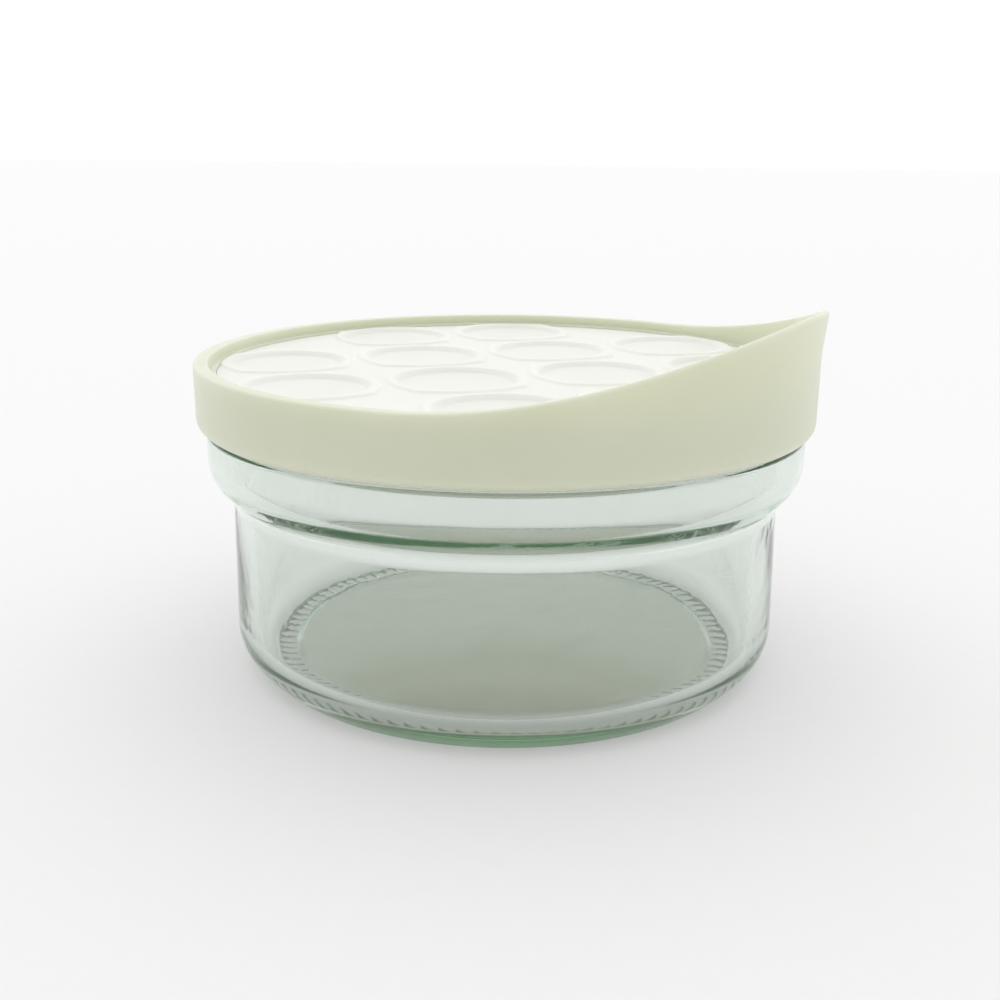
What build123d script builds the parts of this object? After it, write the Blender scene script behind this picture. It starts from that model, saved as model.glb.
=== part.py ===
from build123d import *
import os
from math import cos, hypot, radians, sin, tan

# A low glass jar for a sourdough starter, closed by a press-on plastic lid.
# Millimetres, +Z up. The origin is on the jar's axis, on the plane the jar stands on,
# and the lid's pull tab points along +X.

# Glass jar, outside, from the table up: each radius steps from the one below, each height stacks
base_radius = 38.45
base_round = 2.1
bearing_width = 4.45
base_step = 0.6
base_hollow = 1.2
heel_reach = 4.1
heel_height = 3.85
heel_round = 7.0
wall_draft = 0.35
wall_rise = 23.5
waist_round = 3.1
collar_swell = 3.55
collar_rise = 3.65
collar_round = 6.0
collar_land = 6.25
ledge_chamfer = 0.5
neck_inset = 1.85
neck_rise = 4.5
bead_step = 0.8
bead_depth = 2.0
mouth_wall = 3.9
mouth_round = 0.6
mouth_chamfer = 0.5

# Glass jar, inside
glass_wall = 3.1
floor_thickness = 3.1
floor_crown = 0.3
floor_round = 1.5
bore_draft = 0.45
flare_height = 11.0
flare_round = 3.0

# Lid: the fits that hold it on the jar
snap_gap = 0.1
snap_depth = 0.4
snap_height = 1.3
snap_lift = 0.55
snap_count = 6
snap_arc = 24
skirt_gap = 0.3
skirt_wall = 1.9
skirt_roll = 1.5
plug_gap = 0.5
plug_wall = 1.2
plug_drop = 3.85
plug_lead = 0.5

# Seal ring
seal_thickness = 1.2
seal_gap = 0.05
seal_lip = 0.3
seal_side_gap = 0.05
seal_lip_share = 0.5

# Lid: web, rim and pull tab
web_thickness = 1.2
rim_step = 1.4
rim_land = 2.1
rim_lean = 10.9
rim_edge = 0.35
tab_rise = 9.5
tab_start = 8.9
flare_start = 1.5
flare_blend = 18.0
flare_lean = 7.0
overrun = 2.0

# Panel and its grid of dished tiles
panel_thickness = 1.4
panel_gap = 0.05
panel_shelf = 0.9
tile_pitch = 21.6
tile_groove = 1.5
tile_corner = 7.0
tile_height = 0.35
tile_rows = 4
tile_turn = 45
dish_radius = 9.0
dish_depth = 0.75
dish_taper = 45

# Heights worked out from the stack: floor, wall, collar, neck, seal, web, panel, rim
floor_height = base_hollow + floor_thickness
waist_height = heel_height + wall_rise
collar_height = waist_height + collar_rise
ledge_height = collar_height + collar_land + ledge_chamfer
mouth_height = ledge_height + neck_rise
seal_bottom = mouth_height + seal_gap
web_bottom = seal_bottom + seal_thickness
web_top = web_bottom + web_thickness
panel_top = web_top + panel_thickness
rim_top = panel_top + rim_step
tip_height = rim_top + tab_rise
crown_top = tip_height + overrun

# Radii worked out from the glass and the clearances
heel_radius = base_radius + heel_reach
waist_radius = heel_radius - wall_draft
collar_radius = waist_radius + collar_swell
neck_radius = collar_radius - neck_inset
bead_radius = neck_radius + bead_step
mouth_bore = bead_radius - mouth_wall
wall_bore = heel_radius - glass_wall
waist_bore = wall_bore + bore_draft
snap_inner = bead_radius + snap_gap
skirt_inner = snap_inner + snap_depth
lid_radius = skirt_inner + skirt_wall
plug_outer = mouth_bore - plug_gap
plug_inner = plug_outer - plug_wall
rim_inner = lid_radius - rim_land
rim_foot = rim_inner - rim_step * tan(radians(rim_lean))
pocket_radius = rim_foot - panel_shelf
panel_radius = pocket_radius - panel_gap

# The jar is turned from one profile: underside, outside, mouth, then down the inside
bearing_inner = base_radius - bearing_width
hollow_radius = bearing_inner - base_step
hollow_mid = (hollow_radius / 2, base_step + (base_hollow - base_step) * 3 / 4)
bead_bottom = mouth_height - bead_depth
flare_top = waist_height + flare_height
outer_rounds = [base_round, heel_round, waist_round, collar_round]
neck_rounds = [0, 0, 0, 0, 0, mouth_round]
inner_rounds = [0, 0, flare_round, flare_round, floor_round]
with BuildPart() as glass_jar:
    with BuildSketch(Plane.XZ):
        with BuildLine():
            ThreePointArc((0, base_hollow), hollow_mid, (hollow_radius, base_step))
            Line((hollow_radius, base_step), (bearing_inner, 0))
            FilletPolyline(
                (bearing_inner, 0),
                (base_radius, 0),
                (heel_radius, heel_height),
                (waist_radius, waist_height),
                (collar_radius, collar_height),
                (collar_radius, collar_height + collar_land),
                (collar_radius - ledge_chamfer, ledge_height),
                (neck_radius, ledge_height),
                (neck_radius, bead_bottom),
                (bead_radius, bead_bottom + bead_step),
                (bead_radius, mouth_height),
                (mouth_bore + mouth_chamfer, mouth_height),
                (mouth_bore, mouth_height - mouth_chamfer),
                (mouth_bore, flare_top),
                (waist_bore, waist_height),
                (wall_bore, floor_height),
                (0, floor_height + floor_crown),
                radius=outer_rounds + neck_rounds + inner_rounds,
            )
            Line((0, floor_height + floor_crown), (0, base_hollow))
        make_face()
    revolve(axis=Axis.Z)
glass_jar.part.label = "glass_jar"

# The lid shell is a turned cup with a tall flared crown. A cut drawn in the side view and
# run straight across the lid leaves a level rim that sweeps up into the tab.
skirt_bottom = ledge_height + skirt_gap
plug_bottom = mouth_height - plug_drop
flare_base = rim_top + flare_start
blend_out = flare_blend * (1 - cos(radians(flare_lean)))
blend_up = flare_blend * sin(radians(flare_lean))


def crown_outer(height):
    """Radius of the flared outside at a height above the blend."""
    return lid_radius + blend_out + (height - flare_base - blend_up) * tan(radians(flare_lean))


def crown_inner(height):
    """Radius of the leaning inside of the rim at a height."""
    return rim_inner + (height - rim_top) * tan(radians(rim_lean))


tip_radius = crown_outer(tip_height)
snap_bottom = skirt_bottom + snap_lift
with BuildPart() as lid_shell:
    with BuildSketch(Plane.XZ):
        with BuildLine():
            FilletPolyline(
                (0, web_bottom),
                (plug_inner, web_bottom),
                (plug_inner, plug_bottom),
                (plug_outer - plug_lead, plug_bottom),
                (plug_outer, plug_bottom + plug_lead),
                (plug_outer, web_bottom),
                (skirt_inner, web_bottom),
                (skirt_inner, skirt_bottom),
                (lid_radius, skirt_bottom),
                (lid_radius, flare_base),
                radius=[0, 0, 0, 0, 0, 0, 0, skirt_roll],
            )
            flare = JernArc((lid_radius, flare_base), (0, 1), -flare_blend, flare_lean)
            Line(flare @ 1, (crown_outer(crown_top), crown_top))
            Polyline(
                (crown_outer(crown_top), crown_top),
                (crown_inner(crown_top), crown_top),
                (rim_foot, panel_top),
                (pocket_radius, panel_top),
                (pocket_radius, web_top),
                (0, web_top),
                (0, web_bottom),
            )
        make_face()
    revolve(axis=Axis.Z)
    with BuildSketch(Plane.XZ):
        with BuildLine():
            level = Line((-lid_radius - overrun, rim_top), (tab_start, rim_top))
            sweep_up = TangentArc(level @ 1, (tip_radius, tip_height), tangent=level % 1)
            runout = Line(sweep_up @ 1, (sweep_up @ 1) + (sweep_up % 1) * overrun)
            Polyline(
                runout @ 1,
                ((runout @ 1).X, crown_top + overrun),
                (-lid_radius - overrun, crown_top + overrun),
                level @ 0,
            )
        make_face()
    extrude(amount=lid_radius + overrun, both=True, mode=Mode.SUBTRACT)
    lands = lid_shell.faces().filter_by(lambda f: f.bounding_box().min.Z > rim_top - rim_edge)
    lands = lands.filter_by(lambda f: f.normal_at(None).Z > abs(f.normal_at(None).X))
    land_edges = ShapeList([e for land in lands for e in land.edges()])
    fillet(land_edges.filter_by(GeomType.LINE, reverse=True), radius=rim_edge)
    for count in range(snap_count):
        turn = radians(count * 360 / snap_count - snap_arc / 2)
        radial = Plane(origin=(0, 0, 0), x_dir=(cos(turn), sin(turn), 0), z_dir=(sin(turn), -cos(turn), 0))
        with BuildSketch(radial):
            Polygon(
                (skirt_inner, snap_bottom),
                (snap_inner, snap_bottom + snap_depth),
                (snap_inner, snap_bottom + snap_height - snap_depth),
                (skirt_inner, snap_bottom + snap_height),
                (skirt_inner + snap_depth, snap_bottom + snap_height),
                (skirt_inner + snap_depth, snap_bottom),
                align=None,
            )
        revolve(axis=Axis.Z, revolution_arc=snap_arc)
lid_shell.part.label = "lid_shell"

# The panel is a disc with a diagonal grid of rounded tiles, each hollowed by a shallow round cell
tile_side = tile_pitch - tile_groove
field_top = panel_top - tile_height
tile_places = [
    place.position.rotate(Axis.Z, tile_turn)
    for place in GridLocations(tile_pitch, tile_pitch, tile_rows, tile_rows)
    if hypot(place.position.X, place.position.Y) + dish_radius < panel_radius
]
with BuildPart() as lid_panel:
    with BuildSketch(Plane.XY.offset(web_top)):
        Circle(panel_radius)
    extrude(amount=field_top - web_top)
    with BuildSketch(Plane.XY.offset(field_top)):
        with Locations(*tile_places):
            RectangleRounded(tile_side, tile_side, tile_corner, rotation=tile_turn)
        Circle(panel_radius, mode=Mode.INTERSECT)
    extrude(amount=tile_height)
    with BuildSketch(Plane.XY.offset(panel_top)):
        with Locations(*tile_places):
            Circle(dish_radius)
    extrude(amount=-dish_depth, taper=dish_taper, mode=Mode.SUBTRACT)
lid_panel.part.label = "lid_panel"

# The seal is a flat ring with a lip under it that rests on the glass mouth
seal_inner = plug_outer + seal_side_gap
seal_outer = skirt_inner - seal_side_gap
seal_width = seal_outer - seal_inner
lip_radius = seal_inner + seal_width * seal_lip_share
with BuildPart() as seal_ring:
    with BuildSketch(Plane.XZ):
        with BuildLine():
            Polyline(
                (seal_inner, web_bottom),
                (seal_inner, seal_bottom + seal_lip),
                (lip_radius - 2 * seal_lip, seal_bottom + seal_lip),
                (lip_radius - seal_lip, seal_bottom),
                (lip_radius + seal_lip, seal_bottom),
                (lip_radius + 2 * seal_lip, seal_bottom + seal_lip),
                (seal_outer, seal_bottom + seal_lip),
                (seal_outer, web_bottom),
                close=True,
            )
        make_face()
    revolve(axis=Axis.Z)
seal_ring.part.label = "seal_ring"

os.makedirs("parts", exist_ok=True)
export_step(glass_jar.part, "parts/glass_jar.step")
export_step(lid_shell.part, "parts/lid_shell.step")
export_step(lid_panel.part, "parts/lid_panel.step")
export_step(seal_ring.part, "parts/seal_ring.step")
print(f"tab tip at radius {tip_radius:.2f}, height {tip_height:.2f}; lid radius {lid_radius:.2f}")
print(f"inside of the jar: bore {wall_bore:.2f}, floor {floor_height:.2f}; {len(tile_places)} tiles")
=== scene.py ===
# %% [markdown]
# # A glass jar for a sourdough starter, with its press-on lid
#
# The real object is a low pressed-glass jar, faintly green, closed by a cream plastic lid whose
# rim sweeps up into a pull tab. This lesson dresses a finished CAD frame of it. The frame is
# loaded first and stays where it is; every new piece is modelled over it, in metres, and rides
# on the frame's own bodies, so the lid still lifts off.

# %% Load the frame
from math import asin, cos, pi, radians, sin, sqrt, tan

import bpy
import numpy as np
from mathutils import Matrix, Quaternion, Vector


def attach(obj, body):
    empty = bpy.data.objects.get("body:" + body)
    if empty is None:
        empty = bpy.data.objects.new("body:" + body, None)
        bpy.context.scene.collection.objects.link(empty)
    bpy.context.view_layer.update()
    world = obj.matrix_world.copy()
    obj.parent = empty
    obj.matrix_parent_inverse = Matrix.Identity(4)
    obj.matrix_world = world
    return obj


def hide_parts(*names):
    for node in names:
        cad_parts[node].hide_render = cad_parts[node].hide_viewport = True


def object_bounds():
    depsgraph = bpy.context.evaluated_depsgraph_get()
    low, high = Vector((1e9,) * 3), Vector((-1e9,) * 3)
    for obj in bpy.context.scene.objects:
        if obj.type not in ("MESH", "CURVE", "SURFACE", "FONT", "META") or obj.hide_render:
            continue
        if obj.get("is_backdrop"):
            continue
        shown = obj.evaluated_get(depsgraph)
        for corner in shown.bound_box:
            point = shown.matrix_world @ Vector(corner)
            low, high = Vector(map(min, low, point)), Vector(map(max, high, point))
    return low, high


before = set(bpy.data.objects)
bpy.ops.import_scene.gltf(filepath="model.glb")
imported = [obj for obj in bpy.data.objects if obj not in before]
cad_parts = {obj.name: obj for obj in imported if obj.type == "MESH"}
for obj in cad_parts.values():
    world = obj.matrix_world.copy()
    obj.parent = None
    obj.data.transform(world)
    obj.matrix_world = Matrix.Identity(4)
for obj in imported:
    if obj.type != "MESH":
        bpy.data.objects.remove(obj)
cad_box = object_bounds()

# %% [markdown]
# ## The camera
#
# A camera can be placed by eye, but here its place, its lens and a half degree of roll were
# worked out from the outlines of the jar and of the lid, so the render can be laid over the
# photograph. The roll is a turn about the camera's own line of sight.

# %% Set up the camera
MM = 0.001
camera_place = Vector((86.93, -165.71, 77.72)) * MM
camera_target = Vector((-0.721, -0.382, 23.913)) * MM
camera_roll = radians(0.456)

camera_data = bpy.data.cameras.new("camera")
camera_data.lens = 43.858
camera_data.clip_start = 10 * MM
camera = bpy.data.objects.new("camera", camera_data)
bpy.context.scene.collection.objects.link(camera)
camera.location = camera_place
camera.rotation_mode = "QUATERNION"
aim = (camera_target - camera_place).to_track_quat("-Z", "Y")
camera.rotation_quaternion = aim @ Quaternion((0, 0, 1), camera_roll)
bpy.context.scene.camera = camera
print(f"camera {(camera_target - camera_place).length / MM:.0f} mm from the jar")

# %% [markdown]
# ## Profiles: a turned piece is drawn as half a section
#
# The jar, the lid and the seal are all round, so each starts as a line of points in the plane
# of radius and height. Corners on real glass and plastic are never sharp: a small arc there
# catches the light. The helper below takes corners with a rounding each and lays in the arcs,
# and a second one cuts long runs into short ones, so that the surface can be waved later.


# %% Draw rounded profiles
def rounded(corners, steps=6):
    """Points (radius, height) along corners given as (radius, height, rounding), in mm."""
    points = []
    for index, (radius, height, rounding) in enumerate(corners):
        here = Vector((radius, height))
        if not rounding:
            points.append(here)
            continue
        back = (Vector(corners[index - 1][:2]) - here).normalized()
        ahead = (Vector(corners[index + 1][:2]) - here).normalized()
        half = back.angle(ahead) / 2
        centre = here + (back + ahead).normalized() * rounding / sin(half)
        first = here + back * rounding / tan(half) - centre
        last = here + ahead * rounding / tan(half) - centre
        turn = first.angle(last)
        for step in range(steps + 1):
            share = step / steps
            spoke = first * sin((1 - share) * turn) + last * sin(share * turn)
            points.append(centre + spoke / sin(turn))
    return points


def cut_runs(points, longest):
    """The same line with every run cut into parts no longer than longest."""
    finer = [points[0]]
    for start, end in zip(points, points[1:]):
        parts = max(1, int((end - start).length / longest + 0.999))
        finer += [start.lerp(end, part / parts) for part in range(1, parts + 1)]
    return finer


# %% [markdown]
# ## The lathe
#
# Blender's Spin operator is the lathe. A plane is merged to a single point, the point is
# extruded along the profile, and the line is spun a full turn. The seam and the poles are
# closed by merging doubles, and the normals are recalculated, because a spin can leave them
# pointing inwards. The piece is left at the origin with its place in its mesh.


# %% Turn a profile into a piece
def turn_on_lathe(name, profile, steps, slices):
    bpy.ops.object.select_all(action="DESELECT")
    bpy.ops.mesh.primitive_plane_add(size=MM, location=(0, 0, 0))
    piece = bpy.context.object
    piece.name = piece.data.name = name
    bpy.ops.object.mode_set(mode="EDIT")
    bpy.ops.mesh.select_all(action="SELECT")
    bpy.ops.mesh.merge(type="CENTER")
    bpy.ops.transform.translate(value=(profile[0].x * MM, 0, profile[0].y * MM))
    for start, end in zip(profile, profile[1:]):
        move = (end - start) * MM
        bpy.ops.mesh.extrude_vertices_move(TRANSFORM_OT_translate={"value": (move.x, 0, move.y)})
    bpy.ops.mesh.select_all(action="SELECT")
    bpy.ops.mesh.spin(steps=steps // slices, angle=2 * pi / slices, axis=(0, 0, 1))
    bpy.ops.mesh.select_all(action="SELECT")
    bpy.ops.mesh.spin(steps=slices, angle=2 * pi, axis=(0, 0, 1), dupli=True)
    bpy.ops.mesh.select_all(action="SELECT")
    bpy.ops.mesh.remove_doubles(threshold=MM / 200)
    bpy.ops.mesh.normals_make_consistent(inside=False)
    bpy.ops.object.mode_set(mode="OBJECT")
    bpy.ops.object.shade_smooth()
    print(f"{name}: {len(piece.data.vertices)} points, {len(piece.data.polygons)} faces")
    return piece


def read_points(piece):
    """Every point of the mesh as an array of x, y, z in millimetres."""
    points = np.empty(len(piece.data.vertices) * 3)
    piece.data.vertices.foreach_get("co", points)
    return points.reshape(-1, 3) / MM


def write_points(piece, points):
    piece.data.vertices.foreach_set("co", (points * MM).ravel())
    piece.data.update()


def polar(points):
    """Radius, angle and height of each point."""
    return np.hypot(points[:, 0], points[:, 1]), np.arctan2(points[:, 1], points[:, 0]), points[:, 2]


# %% [markdown]
# ## The glass jar
#
# Pressed glass is thick and soft-cornered. The profile runs from under the base, over the ring
# that the jar stands on, round the heel, up the wall, out over the collar, across the ledge
# under the lid, up the neck, over the mouth, and down the inside to the floor. One closed
# profile gives one closed skin with a real wall, which is what a renderer needs to bend light
# as glass does.
#
# The outside follows the CAD frame. The inside doesn't: its floor is thinner and its wall
# bulges behind the collar, because that put the green lines nearest to the photograph's. The
# real inside can't be measured from outside, so this is a choice.

# %% Draw the jar's section
bearing_inner, bearing_outer, hollow_radius = 34.0, 37.6, 33.0
base_radius, heel_radius, heel_height = 38.45, 42.55, 3.85
waist_radius, waist_height = 42.2, 27.35
collar_radius, collar_height = 45.75, 31.0
ledge_height, neck_radius, bead_radius, bead_bottom = 37.75, 43.9, 44.7, 40.25
mouth_height, mouth_bore = 42.25, 40.8
wall_bore, collar_bore, floor_height, floor_crown = 39.45, 42.45, 2.8, 0.3
hollow_step, base_hollow = 0.3, 0.5

dome_radius = 32
dome = [
    Vector((dome_radius * share, base_hollow - (base_hollow - hollow_step) * share * share))
    for share in np.linspace(0, 1, 9)
]
foot = rounded([
    (dome_radius, hollow_step, 0),
    (hollow_radius, hollow_step, 0.4),
    (bearing_inner, 0, 0.4),
    (36.0, 0, 0),
], 3)[1:]
outside = rounded([
    (36.8, 0, 0),
    (base_radius, 0, 2.1),
    (heel_radius, heel_height, 7.0),
    (waist_radius, waist_height, 3.1),
    (collar_radius, collar_height, 6.0),
    (collar_radius, ledge_height, 0.7),
    (neck_radius, ledge_height, 0.5),
    (neck_radius, bead_bottom, 0.4),
    (bead_radius, bead_bottom + 0.8, 0.5),
    (bead_radius, mouth_height, 0.9),
    (mouth_bore, mouth_height, 0.8),
    (mouth_bore, 41.0, 0),
], 7)
inside = rounded([
    (mouth_bore, 40.5, 0),
    (mouth_bore, 39.5, 2),
    (collar_bore, 37.4, 2),
    (collar_bore, 32.0, 3.5),
    (wall_bore, 28.6, 4.5),
    (wall_bore, floor_height, 4.5),
    (0, floor_height + floor_crown, 0),
], 9)
jar_profile = cut_runs(dome[:-1] + foot + outside + inside, 3.6)
knurl_count, knurl_radius, knurl_reach = 94, 36.0, 1.3
jar_glass = turn_on_lathe("jar_glass", jar_profile, knurl_count * 6, knurl_count // 2)
print(f"the jar's profile has {len(jar_profile)} points")

# %% [markdown]
# ## The knurl under the jar
#
# Glassmakers press a ring of small crescents into the face that a jar stands on, so that it
# touches the table at many points. Seen through the heel they make the row of dark ticks at
# the bottom of the photograph. They could be a bump map, but a bump has no thickness for light
# to bend through, so the points between the crescents are pushed up into the glass instead.


# %% Press the crescents
def press_knurl(piece, depth=0.48):
    points = read_points(piece)
    radius, angle, height = polar(points)
    across = (radius - knurl_radius) / knurl_reach
    tooth = angle * knurl_count / (2 * pi) + 0.3 * across * across + 0.1 * across
    off_centre = np.abs(tooth - np.round(tooth))
    crescent = np.clip(1.6 - off_centre / 0.14, 0, 1)
    window = np.clip(1.5 - np.abs(across) * 1.1, 0, 1) * (height < 1.2)
    points[:, 2] += depth * (1 - crescent) * window
    write_points(piece, points)
    print(f"knurl: {knurl_count} crescents, {2 * pi * bearing_outer / knurl_count:.2f} mm apart")


press_knurl(jar_glass)

# %% [markdown]
# The outside of a pressed jar is true to its mould, but the inside is shaped by a plunger in
# hot glass, so the wall's thickness wanders a little. A few slow waves, of some hundredths of a
# millimetre, are added to the inner points so that the wall isn't as perfect as a lathe's.


# %% Let the wall's thickness wander
def wander(piece, size=0.02):
    points = read_points(piece)
    radius, angle, height = polar(points)
    inner = (radius < mouth_bore + 0.1) & (height > floor_height - 0.5) & (height < mouth_height - 1)
    fade = np.clip((height - floor_height) / 8, 0, 1) * np.clip((mouth_height - height) / 4, 0, 1)
    wave = (np.sin(3 * angle + height / 9) + 0.6 * np.sin(7 * angle - height / 6 + 1.3)
            + 0.4 * np.sin(13 * angle + height / 4 + 2.1) + 0.3 * np.sin(height / 3 + 2 * angle))
    shift = size * wave * fade * inner * (radius > 25)
    points[:, 0] += shift * np.cos(angle)
    points[:, 1] += shift * np.sin(angle)
    write_points(piece, points)
    print(f"inner wall wanders by up to {np.abs(shift).max():.2f} mm")


wander(jar_glass)

# %% [markdown]
# ## The lid
#
# The lid is one moulding: a skirt that presses over the glass, a flat web with a plug wall
# under it, and a raised rim that leans out and sweeps up into the tab. The lower parts are
# plain turning. The crown is not: its top follows one smooth curve along the length of the
# lid, so every station round the rim has its own height. A formula gives the crown's section
# at any angle; the lid is first turned with the level section, then each crown point is moved
# to the section of its own station.

# %% Measure the lid
lid_radius, rim_inner, skirt_inner = 47.1, 45.0, 45.2
skirt_bottom, web_bottom, web_top, panel_top, rim_top = 38.05, 43.5, 44.7, 46.1, 47.5
plug_inner, plug_outer, plug_bottom = 39.1, 40.3, 38.4
rim_foot, pocket_radius, panel_radius = 44.73, 43.83, 43.78
flare_base, flare_blend, flare_lean = 49.0, 18.0, radians(6.1)
rim_lean = radians(10.9)
sweep_start, tip_radius, tip_rise = 8.9, 47.85, 9.5
sweep_radius = ((tip_radius - sweep_start) ** 2 + tip_rise ** 2) / (2 * tip_rise)


def sweep_height(x):
    """Height of the rim's top face at a distance x along the lid, towards the tab."""
    run = max(0, x - sweep_start)
    return rim_top + sweep_radius - sqrt(sweep_radius ** 2 - run ** 2)


def wall_outside(height):
    """Radius of the outside: upright, then easing into a lean."""
    up = height - flare_base
    if up <= 0:
        return lid_radius
    eased = min(up, flare_blend * sin(flare_lean))
    return lid_radius + flare_blend * (1 - cos(asin(eased / flare_blend))) + (up - eased) * tan(flare_lean)


def wall_inside(height):
    """Radius of the inner face of the rim, which leans all the way."""
    return rim_inner + (height - rim_top) * tan(rim_lean)


def crown_section(angle):
    """The crown from the lower skirt up the outside, over the top and down to the panel."""
    tops = []
    for wall in (wall_outside, wall_inside):
        height = rim_top
        for _ in range(30):
            height = sweep_height(wall(height) * cos(angle))
        tops.append(height)
    outer_top, inner_top = tops
    edge = 0.4 + 0.018 * (outer_top - rim_top)
    low = skirt_bottom + 2.5
    outer = [low + (outer_top - 1.2 - low) * share for share in np.linspace(0, 1, 16)]
    inner = [inner_top - 0.9 + (panel_top + 0.35 - inner_top + 0.9) * s for s in np.linspace(0, 1, 8)]
    over = rounded([
        (wall_outside(outer_top - 1.2), outer_top - 1.2, 0),
        (wall_outside(outer_top), outer_top, edge),
        (wall_inside(inner_top), inner_top, 0.3),
        (wall_inside(inner_top - 0.9), inner_top - 0.9, 0),
    ])
    section = [Vector((wall_outside(z), z)) for z in outer[:-1]] + over
    return section + [Vector((wall_inside(z), z)) for z in inner[1:]]


print(f"the tab's tip is {sweep_height(tip_radius):.1f} mm high")

# %% Turn the lid
snap_radius, snap_bottom, snap_top = 44.8, 38.6, 39.9
underside = rounded([
    (0, web_bottom, 0),
    (plug_inner, web_bottom, 0.4),
    (plug_inner, plug_bottom, 0.25),
    (plug_outer, plug_bottom, 0.5),
    (plug_outer, web_bottom, 0.2),
    (skirt_inner, web_bottom, 0.2),
    (skirt_inner, snap_top + 0.05, 0),
    (skirt_inner, (snap_top + snap_bottom) / 2 + 0.25, 0),
    (skirt_inner, (snap_top + snap_bottom) / 2 - 0.25, 0),
    (skirt_inner, snap_bottom - 0.05, 0),
    (skirt_inner, skirt_bottom, 0.2),
    (lid_radius, skirt_bottom, 1.5),
    (lid_radius, skirt_bottom + 2.2, 0),
])
crown = crown_section(pi)
shelf = rounded([
    crown[-1][:] + (0,),
    (rim_foot, panel_top, 0.3),
    (pocket_radius, panel_top, 0.15),
    (pocket_radius, web_top, 0.15),
    (0, web_top, 0),
], 4)[1:]
under_runs = cut_runs(underside, 4.0)
lid_profile = under_runs + crown + cut_runs(shelf, 6.0)
lid_steps = 480
lid_cap = turn_on_lathe("lid_cap", lid_profile, lid_steps, 24)


# %% Move the crown to its stations
def raise_crown(piece):
    points = read_points(piece)
    radius, angle, height = polar(points)
    line = np.array([point[:] for point in lid_profile])
    nearest = np.hypot(radius[:, None] - line[:, 0], height[:, None] - line[:, 1]).argmin(axis=1)
    first, last = len(under_runs), len(under_runs) + len(crown)
    station = np.round(angle * lid_steps / (2 * pi)).astype(int) % lid_steps
    for number in range(lid_steps):
        turn = 2 * pi * number / lid_steps
        section = crown_section(turn)
        for point in np.nonzero((station == number) & (nearest >= first) & (nearest < last))[0]:
            place = section[nearest[point] - first]
            points[point] = place.x * cos(turn), place.x * sin(turn), place.y
    write_points(piece, points)
    print(f"the rim now reaches {points[:, 2].max():.2f} mm")


raise_crown(lid_cap)

# %% [markdown]
# Inside the skirt six short ribs snap under the glass bead. They are a small inward step in
# the turned wall, eased at both ends, where a mould would have its undercuts.


# %% Press the snap ribs
def press_ribs(piece, count=6, arc=radians(24)):
    points = read_points(piece)
    radius, angle, height = polar(points)
    on_wall = (np.abs(radius - skirt_inner) < 0.02) & (np.abs(height - 39.25) < 0.4)
    pitch = 2 * pi / count
    from_middle = np.abs((angle + pitch / 2) % pitch - pitch / 2)
    ease = np.clip((arc / 2 - from_middle) / radians(1.5), 0, 1)
    reach = radius - (skirt_inner - snap_radius) * ease * on_wall
    points[:, 0], points[:, 1] = reach * np.cos(angle), reach * np.sin(angle)
    write_points(piece, points)
    print(f"ribs: {count}, over {int(np.count_nonzero(on_wall & (ease > 0)))} points")


press_ribs(lid_cap)

# %% [markdown]
# ## The inlay with its round cells
#
# The white disc inside the rim carries a diagonal grid of rounded tiles, and each tile is
# dished into a flat round cell. It could be a displaced sheet, but that spends its faces evenly
# and blurs the thin edges. So one tile is modelled and copied. It starts as a square with many
# points round its edge. Each extrude followed by a resize makes the next ring inwards, and
# To Sphere pulls the square ring first towards a rounded square and then to a full circle.

# %% Rings for a tile
tile_pitch, tile_turn, tile_depth, cell_depth = 21.6, radians(45), 0.35, 0.75
field_top = panel_top - tile_depth
side_points = 24
square_mean = tile_pitch / 2 * np.hypot(1, np.arange(side_points) * 2 / side_points - 1).mean()


def start_tile(name):
    """One square face of the grid, with many points to a side."""
    bpy.ops.object.select_all(action="DESELECT")
    bpy.ops.mesh.primitive_grid_add(
        x_subdivisions=side_points, y_subdivisions=side_points, size=tile_pitch * MM)
    piece = bpy.context.object
    piece.name = piece.data.name = name
    bpy.ops.object.mode_set(mode="EDIT")
    bpy.ops.mesh.select_all(action="SELECT")
    bpy.ops.mesh.dissolve_faces()
    return piece


def add_ring(scale, rise):
    """Extrudes the selected face and brings its ring in by scale and up by rise, in mm."""
    bpy.ops.mesh.extrude_region_move(TRANSFORM_OT_translate={"value": (0, 0, rise * MM)})
    bpy.ops.transform.resize(value=(scale, scale, 1))


# %% Shape the tile: soft edge, border, cell wall and cell floor
to_round = 0.68
half_side = (1 - to_round) * tile_pitch / 2 + to_round * square_mean
edge_rings = [(10.45, 0), (10.36, 0), (10.24, 0.05), (10.12, 0.15), (10.0, 0.25), (9.88, 0.32),
              (9.76, 0.35), (9.66, 0.35)]
cell_rings = [(9.3, 0.35), (9.22, 0.345), (9.1, 0.31), (8.98, 0.22), (8.6, -0.16), (8.46, -0.28),
              (8.32, -0.35), (8.16, -0.385), (8.0, -0.4), (7.9, -0.4), (5.0, -0.4), (2.0, -0.4)]

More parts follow.
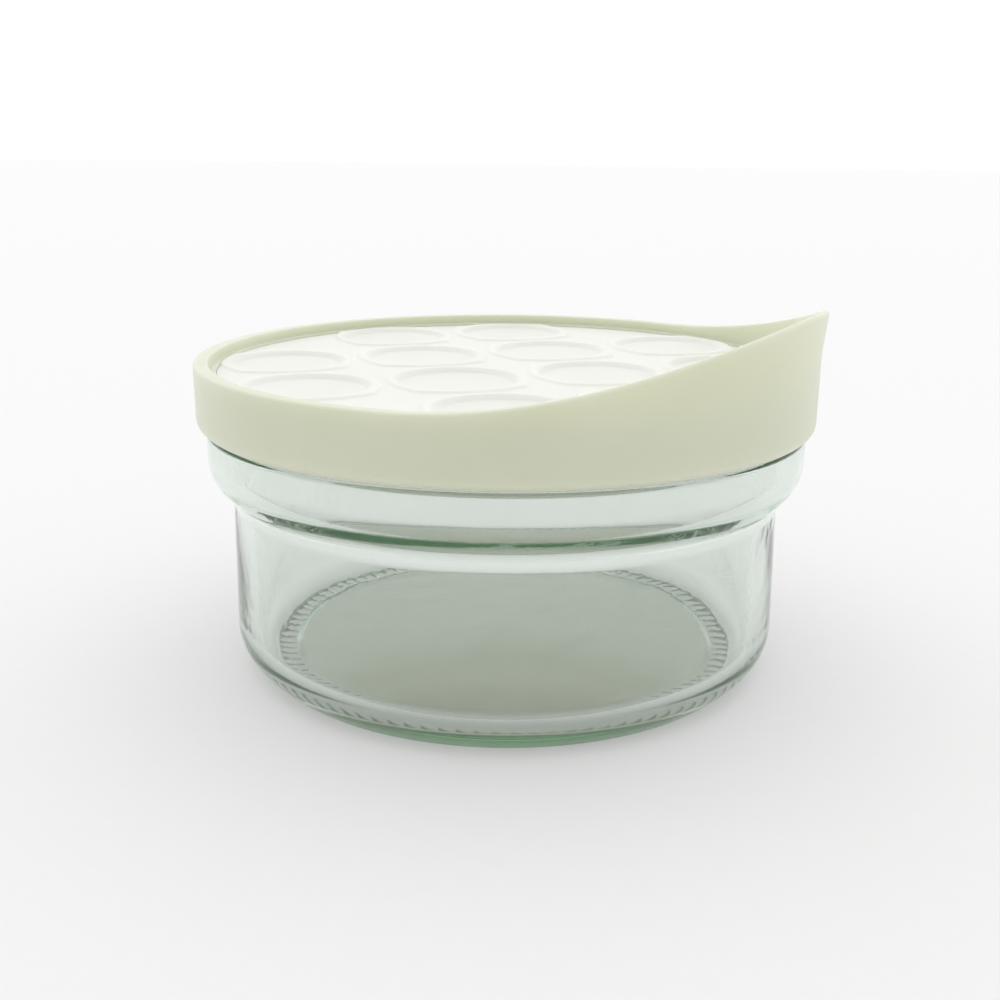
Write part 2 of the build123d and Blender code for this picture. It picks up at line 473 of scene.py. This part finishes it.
tile = start_tile("tile")
add_ring(1, 0)
bpy.ops.transform.tosphere(value=to_round)
bpy.ops.transform.resize(value=(edge_rings[0][0] / half_side, edge_rings[0][0] / half_side, 1))
for (size_now, height_now), (size, height) in zip(edge_rings, edge_rings[1:]):
    add_ring(size / size_now, height - height_now)
add_ring(1, 0)
bpy.ops.transform.tosphere(value=1)
circle_now = square_mean * edge_rings[-1][0] / half_side
bpy.ops.transform.resize(value=(cell_rings[0][0] / circle_now, cell_rings[0][0] / circle_now, 1))
for (size_now, height_now), (size, height) in zip(cell_rings, cell_rings[1:]):
    add_ring(size / size_now, height - height_now)
bpy.ops.mesh.poke()
bpy.ops.mesh.select_all(action="DESELECT")
bpy.ops.mesh.select_face_by_sides(number=4 * side_points)
bpy.ops.mesh.delete(type="ONLY_FACE")
bpy.ops.mesh.select_all(action="SELECT")
bpy.ops.transform.translate(value=(0, 0, field_top * MM))
bpy.ops.object.mode_set(mode="OBJECT")
print(f"tile: {len(tile.data.polygons)} faces")

# %% [markdown]
# The grid is four squares by four. Twelve of them hold tiles, and the four corners, which the
# rim mostly cuts away, stay plain. The copies are joined and their shared edges merged, the
# sheet is widened a little and drawn down into a slab, and the slab is trimmed to the round
# with a Boolean modifier, as a punch would.

# %% Lay out the grid and trim it round
blank = start_tile("blank")
bpy.ops.transform.translate(value=(0, 0, field_top * MM))
bpy.ops.object.mode_set(mode="OBJECT")
copies = []
for column in (-1.5, -0.5, 0.5, 1.5):
    for row in (-1.5, -0.5, 0.5, 1.5):
        bpy.ops.object.select_all(action="DESELECT")
        source = blank if abs(column) + abs(row) == 3 else tile
        source.select_set(True)
        bpy.context.view_layer.objects.active = source
        bpy.ops.object.duplicate()
        bpy.ops.transform.translate(value=(column * tile_pitch * MM, row * tile_pitch * MM, 0))
        copies.append(bpy.context.object)
bpy.data.objects.remove(blank)
bpy.data.objects.remove(tile)

bpy.ops.object.select_all(action="DESELECT")
for copy in copies:
    copy.select_set(True)
lid_inlay = copies[0]
bpy.context.view_layer.objects.active = lid_inlay
bpy.ops.object.transform_apply(location=True, rotation=True, scale=True)
bpy.ops.object.join()
lid_inlay.name = lid_inlay.data.name = "lid_inlay"
bpy.ops.object.mode_set(mode="EDIT")
bpy.ops.mesh.select_mode(type="VERT")
bpy.ops.mesh.select_all(action="SELECT")
bpy.ops.mesh.remove_doubles(threshold=MM / 100)
bpy.ops.mesh.select_all(action="DESELECT")
bpy.ops.mesh.select_non_manifold()
bpy.ops.mesh.extrude_region_move()
bpy.ops.transform.resize(value=(1.1, 1.1, 1))
bpy.ops.mesh.extrude_region_move(
    TRANSFORM_OT_translate={"value": (0, 0, (web_top - 1 - field_top) * MM)})
bpy.ops.mesh.edge_face_add()
bpy.ops.mesh.select_all(action="SELECT")
bpy.ops.mesh.normals_make_consistent(inside=False)
bpy.ops.transform.rotate(value=tile_turn, orient_axis="Z", center_override=(0, 0, 0))
bpy.ops.object.mode_set(mode="OBJECT")

bpy.ops.object.select_all(action="DESELECT")
bpy.ops.mesh.primitive_cylinder_add(
    vertices=256, radius=panel_radius * MM, depth=4 * MM, location=(0, 0, (web_top + 2) * MM))
punch = bpy.context.object
bpy.ops.object.select_all(action="DESELECT")
lid_inlay.select_set(True)
bpy.context.view_layer.objects.active = lid_inlay
trim = lid_inlay.modifiers.new("trim", "BOOLEAN")
trim.operation, trim.object, trim.solver = "INTERSECT", punch, "EXACT"
bpy.ops.object.modifier_apply(modifier=trim.name)
bpy.data.objects.remove(punch)
bpy.ops.object.shade_smooth_by_angle(angle=radians(40))
inlay_low, inlay_high = read_points(lid_inlay).min(axis=0), read_points(lid_inlay).max(axis=0)
print(f"inlay: {len(lid_inlay.data.polygons)} faces, {inlay_high - inlay_low} mm")

# %% [markdown]
# ## The seal
#
# Under the web lies a soft ring whose lip presses on the glass mouth. It shows only when the
# lid is off. It is turned like the rest, with every edge well rounded, as moulded silicone is.

# %% Turn the seal
seal_inner, seal_outer, seal_bottom, seal_lip = 40.35, 45.15, 42.3, 0.3
lip_middle = (seal_inner + seal_outer) / 2
seal_profile = rounded([
    (seal_inner, (web_bottom + seal_bottom) / 2, 0),
    (seal_inner, web_bottom, 0.15),
    (seal_outer, web_bottom, 0.15),
    (seal_outer, seal_bottom + seal_lip, 0.25),
    (lip_middle + 2.2 * seal_lip, seal_bottom + seal_lip, 0.2),
    (lip_middle + seal_lip, seal_bottom, 0.15),
    (lip_middle - seal_lip, seal_bottom, 0.15),
    (lip_middle - 2.2 * seal_lip, seal_bottom + seal_lip, 0.2),
    (seal_inner, seal_bottom + seal_lip, 0.25),
    (seal_inner, (web_bottom + seal_bottom) / 2, 0),
], 4)
lid_seal = turn_on_lathe("lid_seal", seal_profile, 240, 20)

# %% [markdown]
# ## Finishes
#
# A material is a small sum. Noise gives a number at each point of the surface; the number is
# scaled, mixed into two close colours, and also feeds the roughness and the bump. The class
# Reading wraps a socket so that the sum can be written as one, and each operator adds its Math
# node. The class Finish makes every other node through one method.


# %% A way to write shader sums
class Reading:
    """A shader value; a sum written with it adds Math nodes."""

    def __init__(self, finish, socket):
        self.finish, self.socket = finish, socket

    def math(self, operation, first, second):
        return self.finish.node("Math", {0: first, 1: second}, operation=operation)

    def __add__(self, other):
        return self.math("ADD", self, other)

    def __rsub__(self, other):
        return self.math("SUBTRACT", other, self)

    def __mul__(self, other):
        return self.math("MULTIPLY", self, other)

    __radd__ = __add__
    __rmul__ = __mul__


class Finish:
    """A material with its Principled shader, and the nodes that feed it."""

    def __init__(self, name, piece, **constants):
        self.material = bpy.data.materials.new(name)
        self.material.use_nodes = True
        self.tree = self.material.node_tree
        self.shader = self.tree.nodes["Principled BSDF"]
        self.plug(self.shader, {key.replace("_", " "): value for key, value in constants.items()})
        self.place = self.node("TexCoord", {}, "Object")
        piece.data.materials.clear()
        piece.data.materials.append(self.material)

    def node(self, kind, inputs, output=0, **settings):
        node = self.tree.nodes.new("ShaderNode" + kind)
        for name, value in settings.items():
            setattr(node, name, value)
        self.plug(node, inputs)
        return Reading(self, node.outputs[output])

    def plug(self, node, inputs):
        for name, value in inputs.items():
            if isinstance(value, Reading):
                self.tree.links.new(value.socket, node.inputs[name])
            else:
                node.inputs[name].default_value = value

    def noise(self, size, detail=3):
        """Smooth noise from 0 to 1 whose features are about size mm across."""
        settings = {"Vector": self.place, "Scale": 1 / (size * MM), "Detail": detail}
        return self.node("TexNoise", settings)

    def grade(self, value, low, high):
        """0 below low, 1 above high, and smooth between."""
        return self.node("MapRange", {"Value": value, "From Min": low, "From Max": high},
                         interpolation_type="SMOOTHSTEP")

    def blend(self, share, first, second):
        return self.node("Mix", {0: share, 6: (*first, 1), 7: (*second, 1)}, 2, data_type="RGBA")

    def dress(self, colour=None, roughness=None, relief=None, depth=0.1):
        """Plugs the colour, the roughness and a relief of depth mm into the shader."""
        if relief:
            bump = self.node("Bump", {"Height": relief, "Distance": depth * MM})
            self.plug(self.shader, {"Normal": bump})
        if colour:
            self.plug(self.shader, {"Base Color": colour})
        if roughness:
            self.plug(self.shader, {"Roughness": roughness})


# %% [markdown]
# ### Glass
#
# Soda glass takes its green from a trace of iron, and the colour is in the body: it deepens
# with the way the light goes through. So a volume absorbs red and blue most. The skin is
# nearly clear, with a slow ripple and a few faint hazy patches. Its slight grey tint is there
# to match the photograph's glass. The basin's floor and the hollow under it are satin, which
# blurs the mirror images that a polished floor would show.

# %% Glass
glass = Finish("green_glass", jar_glass, IOR=1.5, Transmission_Weight=1.0, Roughness=0.0)
ripple = glass.noise(14, 1) + 0.15 * glass.noise(2.5, 2)
haze = glass.grade(glass.noise(9), 0.58, 0.75)
along, aside, above = [glass.node("SeparateXYZ", {0: glass.place}, number) for number in range(3)]
away = along * along + aside * aside
off_table = glass.grade(above, 0.7 * MM, 1.2 * MM)
hollow = (1 - glass.grade(away, (33 * MM) ** 2, (34 * MM) ** 2)) * (1 - off_table)
basin = (1 - glass.grade(away, (38.4 * MM) ** 2, (39.2 * MM) ** 2)) * off_table
basin = basin * (1 - glass.grade(above, 4 * MM, 7 * MM))
glass.dress(
    colour=glass.blend(haze, (0.915, 0.925, 0.92), (0.89, 0.905, 0.895)),
    roughness=haze * 0.03 + basin * 0.17 + hollow * 0.2, relief=ripple, depth=0.08)
body = glass.tree.nodes.new("ShaderNodeVolumeAbsorption")
body.inputs["Color"].default_value = (0.475, 0.70, 0.50, 1)
body.inputs["Density"].default_value = 36
glass.tree.links.new(body.outputs["Volume"], glass.tree.nodes["Material Output"].inputs["Volume"])
print("glass absorbs in its body, density", body.inputs["Density"].default_value)

# %% [markdown]
# ### Cream plastic
#
# The lid is a semi-gloss moulding. Its colour drifts a little where the melt flowed, its
# surface has the fine orange peel of a polished mould, and handling leaves duller patches. It
# is slightly translucent, so light from above spreads through its thin walls and makes the
# upper part of the skirt paler than the lower part.

# %% Cream plastic, ivory plastic and silicone
through = {"Subsurface_Radius": (1, 0.95, 0.8), "Subsurface_Scale": 3.2 * MM}
cream = Finish("cream_plastic", lid_cap, IOR=1.48, Subsurface_Weight=0.55, **through)
drift = cream.grade(cream.noise(22, 4), 0.3, 0.7)
peel = cream.noise(1.1, 2) + 0.6 * cream.noise(6, 1)
cream.dress(
    colour=cream.blend(drift, (0.675, 0.697, 0.54), (0.697, 0.717, 0.562)),
    roughness=0.24 + 0.14 * cream.noise(7), relief=peel, depth=0.05)

ivory = Finish("ivory_plastic", lid_inlay, IOR=1.48, Specular_IOR_Level=0.35,
               Subsurface_Weight=0.25, **through)
cloud = ivory.grade(ivory.noise(15, 4), 0.3, 0.7)
ivory.dress(
    colour=ivory.blend(cloud, (0.91, 0.925, 0.845), (0.93, 0.94, 0.865)),
    roughness=0.42 + 0.12 * ivory.noise(5), relief=ivory.noise(0.9, 2), depth=0.04)

silicone = Finish("seal_rubber", lid_seal, IOR=1.42)
bloom = silicone.grade(silicone.noise(6, 4), 0.35, 0.7)
silicone.dress(
    colour=silicone.blend(bloom, (0.72, 0.72, 0.68), (0.78, 0.78, 0.75)),
    roughness=0.5 + 0.15 * silicone.noise(2), relief=silicone.noise(0.4, 3), depth=0.03)
print("finishes:", sorted(material.name for material in bpy.data.materials))

# %% [markdown]
# ## Studio
#
# The jar stands on pale paper in soft light from all round, brighter above and behind than in
# front, which is what leaves the lid's side a shade darker than its top. Even light would
# also hide the glass: its edges show because they bend in light from darker directions.
#
# The paper glows faintly, as over a light table, and the patch under the jar glows a little
# olive. That is staging: it gives the floor seen through the glass the photograph's colour.

# %% Light, floor and view
scene = bpy.context.scene
scene.view_settings.view_transform = "Standard"
scene.cycles.max_bounces = 24
scene.cycles.diffuse_bounces = 8
scene.cycles.glossy_bounces = 16
scene.cycles.transmission_bounces = 20
world = bpy.data.worlds.new("studio")
scene.world = world
key_direction, dimmest, brightest = (-0.30, 0.62, 0.72), 0.38, 1.19
world.use_nodes = True
sky = world.node_tree
direction = sky.nodes.new("ShaderNodeTexCoord")
towards = sky.nodes.new("ShaderNodeVectorMath")
towards.operation = "DOT_PRODUCT"
towards.inputs[1].default_value = key_direction
ramp = sky.nodes.new("ShaderNodeMapRange")
ramp.inputs["From Min"].default_value = -0.9
ramp.inputs["From Max"].default_value = 0.8
ramp.inputs["To Min"].default_value = dimmest
ramp.inputs["To Max"].default_value = brightest
sky.links.new(direction.outputs["Generated"], towards.inputs[0])
sky.links.new(towards.outputs["Value"], ramp.inputs["Value"])
sky.links.new(ramp.outputs["Result"], sky.nodes["Background"].inputs["Strength"])
sky.nodes["Background"].inputs["Color"].default_value = (1, 1, 1, 1)

bpy.ops.object.select_all(action="DESELECT")
bpy.ops.mesh.primitive_plane_add(size=12, location=(0, 0, -MM / 20))
floor = bpy.context.object
floor.name = "floor"
paper = Finish("paper", floor, Emission_Strength=0.3)
fibre = paper.noise(3, 4)
paper.dress(colour=paper.blend(fibre, (0.61, 0.61, 0.61), (0.63, 0.63, 0.63)),
            roughness=0.85 + 0.1 * fibre, relief=fibre, depth=0.05)
from_axis = paper.node("VectorMath", {0: paper.place}, 1, operation="LENGTH")
glow = paper.blend(paper.grade(from_axis, 30 * MM, 37 * MM), (0.98, 1.0, 0.82), (1, 1, 1))
paper.plug(paper.shader, {"Emission Color": glow})
floor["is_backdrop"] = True

# %% Bodies, slots and replaced nodes
for piece, carrier, finish_slot, node in (
    (jar_glass, "jar", "green_glass", "glass_jar"),
    (lid_cap, "lid", "cream_plastic", "lid_shell"),
    (lid_inlay, "lid", "ivory_plastic", "lid_panel"),
    (lid_seal, "lid", "seal_rubber", "seal_ring"),
):
    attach(piece, carrier)
    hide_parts(node)

# %% Print the two boxes
dressed_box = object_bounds()
for box in (cad_box, dressed_box):
    print("box in mm:", [[round(value / MM, 2) for value in corner] for corner in box])
